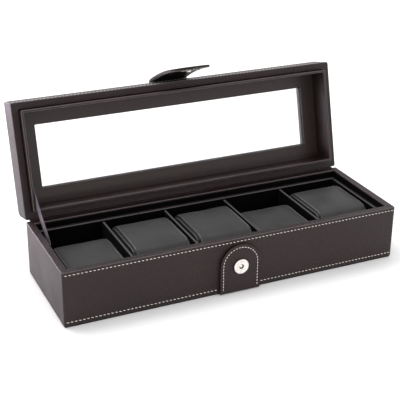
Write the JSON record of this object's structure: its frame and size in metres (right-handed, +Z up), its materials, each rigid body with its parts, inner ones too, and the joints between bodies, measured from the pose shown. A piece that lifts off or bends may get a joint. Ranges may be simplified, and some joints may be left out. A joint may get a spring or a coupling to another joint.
{
  "type": "watch box",
  "caption": "Long leatherette watch box with a windowed hinged lid, velvet compartments with removable cushions, a ribbon stay and a magnetic snap strap.",
  "frame": {"origin": "middle of the underside", "axes": "+X along the box to the right, -Y to the front with the snap, +Z up"},
  "size_m": [0.33, 0.1696, 0.185],
  "materials": {
    "fibreboard": "raw",
    "leatherette": "satin, fine pebbled grain",
    "lid_lining": "satin, smooth",
    "velvet": "short pile",
    "felt": "matte",
    "cushion_cloth": "satin, smooth",
    "window": "clear",
    "nickel": "bright",
    "magnet": "dull",
    "ribbon": "satin ribbon"
  },
  "bodies": {
    "base": {"bottom_board": "fibreboard", "front_board": "fibreboard", "back_board": "fibreboard", "left_board": "fibreboard", "right_board": "fibreboard", "front_cover": "leatherette", "back_cover": "leatherette", "left_cover": "leatherette", "right_cover": "leatherette", "tongue_leather": "leatherette", "hinge_leaf_base": "leatherette", "floor_liner": "velvet", "front_liner": "velvet", "back_liner": "velvet", "left_liner": "velvet", "right_liner": "velvet", "divider_1": "velvet", "divider_2": "velvet", "divider_3": "velvet", "divider_4": "velvet", "bottom_felt": "felt", "tongue_backing": "felt", "snap_socket": "nickel", "snap_washer": "nickel", "snap_magnet": "magnet", "ribbon_stay": "ribbon"},
    "lid": {"lid_front_board": "fibreboard", "lid_back_board": "fibreboard", "lid_left_board": "fibreboard", "lid_right_board": "fibreboard", "lid_top_board": "fibreboard", "lid_wrap": "leatherette", "lid_left_cover": "leatherette", "lid_right_cover": "leatherette", "hinge_leaf_lid": "leatherette", "strap_root": "leatherette", "lid_inner_panel": "lid_lining", "lip_front": "lid_lining", "lip_back": "lid_lining", "lip_left": "lid_lining", "lip_right": "lid_lining", "window_pane": "window"},
    "strap": {"strap_leather": "leatherette", "strap_lining": "leatherette", "snap_stud": "nickel"},
    "watch_cushion_1": {"cushion_1": "cushion_cloth"},
    "watch_cushion_2": {"cushion_2": "cushion_cloth"},
    "watch_cushion_3": {"cushion_3": "cushion_cloth"},
    "watch_cushion_4": {"cushion_4": "cushion_cloth"},
    "watch_cushion_5": {"cushion_5": "cushion_cloth"}
  },
  "joints": [
    {"name": "lid_hinge", "type": "hinge", "parent": "base", "child": "lid", "pos_m": [0, 0.0547, 0.05315], "axis": [-1, 0, 0], "range_deg": [-104.4, 0], "deforming": ["ribbon_stay"]},
    {"name": "strap_bend", "type": "hinge", "parent": "lid", "child": "strap", "pos_m": [0, 0.10983, 0.15287], "axis": [-1, 0, 0], "range_deg": [-5.5, 90], "stiffness_Nm_per_rad": 0.05, "springref_deg": 3.44},
    {"name": "cushion_1_lift", "type": "slide", "parent": "base", "child": "watch_cushion_1", "axis": [0, 0, 1], "range_m": [0, 0.042]},
    {"name": "cushion_2_lift", "type": "slide", "parent": "base", "child": "watch_cushion_2", "axis": [0, 0, 1], "range_m": [-0.0065, 0.0355]},
    {"name": "cushion_3_lift", "type": "slide", "parent": "base", "child": "watch_cushion_3", "axis": [0, 0, 1], "range_m": [-0.0065, 0.0355]},
    {"name": "cushion_4_lift", "type": "slide", "parent": "base", "child": "watch_cushion_4", "axis": [0, 0, 1], "range_m": [0, 0.042]},
    {"name": "cushion_5_lift", "type": "slide", "parent": "base", "child": "watch_cushion_5", "axis": [0, 0, 1], "range_m": [-0.0065, 0.0355]}
  ]
}
